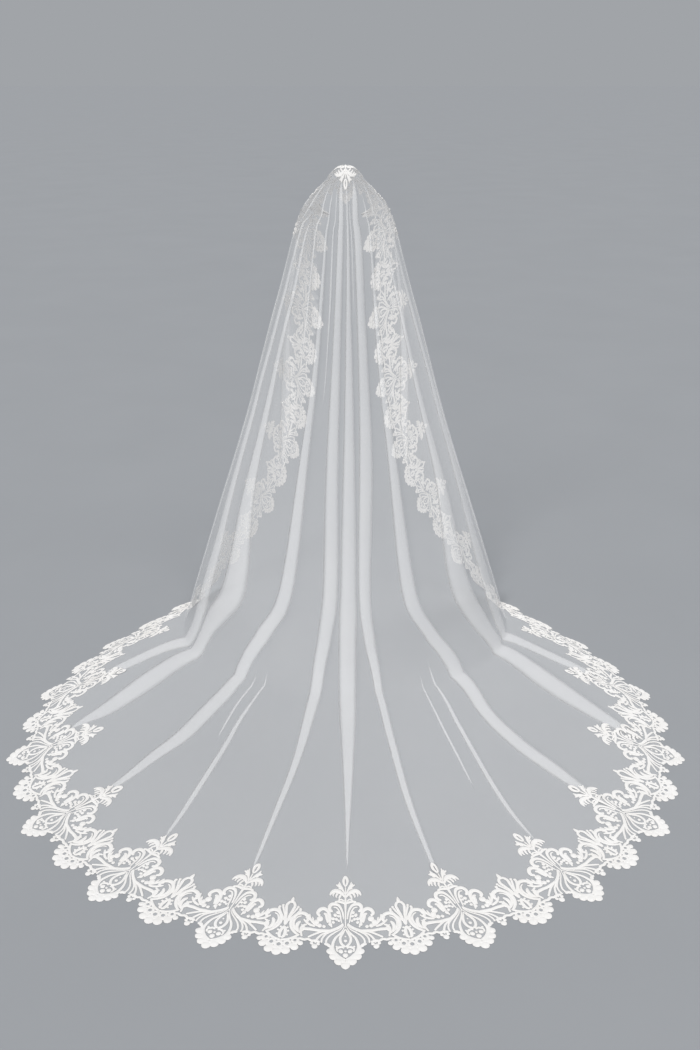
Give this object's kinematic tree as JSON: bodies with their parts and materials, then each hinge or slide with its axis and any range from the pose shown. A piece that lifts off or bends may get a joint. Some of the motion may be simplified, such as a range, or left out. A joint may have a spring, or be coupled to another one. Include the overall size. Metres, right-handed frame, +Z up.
{
  "type": "bridal veil",
  "caption": "Long mantilla bridal veil of tulle with a wide scalloped lace border, worn: hung from the crown, open in front, with a round train on the floor",
  "frame": {"origin": "the crown, on the underside of the tulle where the head holds the veil", "axes": "+Z up, +Y the way the wearer faces, -Y the way the train runs, +X the wearer's right seen from behind"},
  "size_m": [2.0736, 1.8339, 1.6538],
  "materials": {
    "tulle": "soft white nylon tulle, a fine even net, sheer",
    "lace": "off-white corded and embroidered lace, matt with a slight silk sheen"
  },
  "bodies": {
    "root": {"tulle_panel": "tulle", "lace_train_back": "lace", "lace_train_left": "lace", "lace_train_right": "lace", "lace_front_left": "lace", "lace_front_right": "lace", "lace_crown": "lace"}
  },
  "joints": []
}
